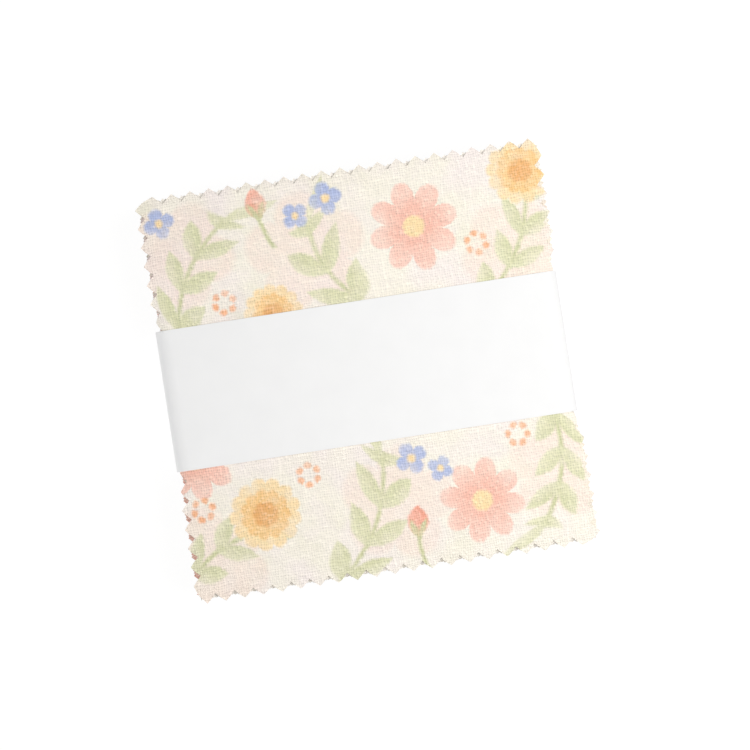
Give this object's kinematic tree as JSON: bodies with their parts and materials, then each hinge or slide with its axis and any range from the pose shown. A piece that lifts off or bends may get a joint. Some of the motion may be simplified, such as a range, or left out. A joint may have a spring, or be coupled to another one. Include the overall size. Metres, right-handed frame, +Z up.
{
  "type": "mini charm pack",
  "caption": "Flat stack of small pinked cotton squares for patchwork, laid edge to edge and held together by a plain paper band around the middle.",
  "frame": {"origin": "on the surface that the pack lies on, under the middle of the stack", "axes": "+X along the paper band, +Y across it towards the back edge of the squares, +Z up through the stack"},
  "size_m": [0.0664, 0.0644, 0.0132],
  "materials": {
    "band_paper": "smooth uncoated white paper",
    "cotton_floral": "plain weave cotton, warm cream with a printed floral",
    "cotton_coral": "plain weave cotton, printed in corals",
    "cotton_rose": "plain weave cotton, printed in dusty rose and mauve",
    "cotton_gold": "plain weave cotton, printed in soft golds",
    "cotton_sage": "plain weave cotton, printed in sage greens",
    "cotton_blue": "plain weave cotton, printed in periwinkle blues",
    "cotton_cream": "plain weave cotton, printed in creams and blush"
  },
  "bodies": {
    "root": {"paper_band": "band_paper", "sheaf_1": "cotton_cream", "sheaf_2": "cotton_blue", "sheaf_3": "cotton_sage", "sheaf_4": "cotton_gold", "sheaf_5": "cotton_rose", "sheaf_6": "cotton_coral", "sheaf_7": "cotton_floral"}
  },
  "joints": []
}
